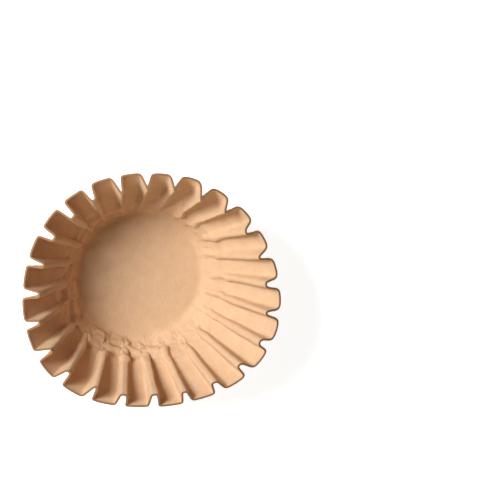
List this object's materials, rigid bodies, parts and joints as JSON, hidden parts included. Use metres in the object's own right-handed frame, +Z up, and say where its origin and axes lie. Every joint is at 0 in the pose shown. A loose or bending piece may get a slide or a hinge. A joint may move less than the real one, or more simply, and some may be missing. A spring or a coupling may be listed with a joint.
{
  "type": "paper coffee filter",
  "caption": "Round basket coffee filter folded from one sheet of brown paper, with a flat base and a flared wall gathered into box pleats.",
  "frame": {"origin": "middle of the underside of the base, on the surface that the filter stands on", "axes": "+Z up the axis of the cup, out of its mouth; +X and +Y level, +X through the middle of a pleat"},
  "size_m": [0.1586, 0.1455, 0.0599],
  "materials": {
    "paper": "matt, finely fibrous, unbleached"
  },
  "bodies": {
    "root": {"filter_paper": "paper"}
  },
  "joints": []
}
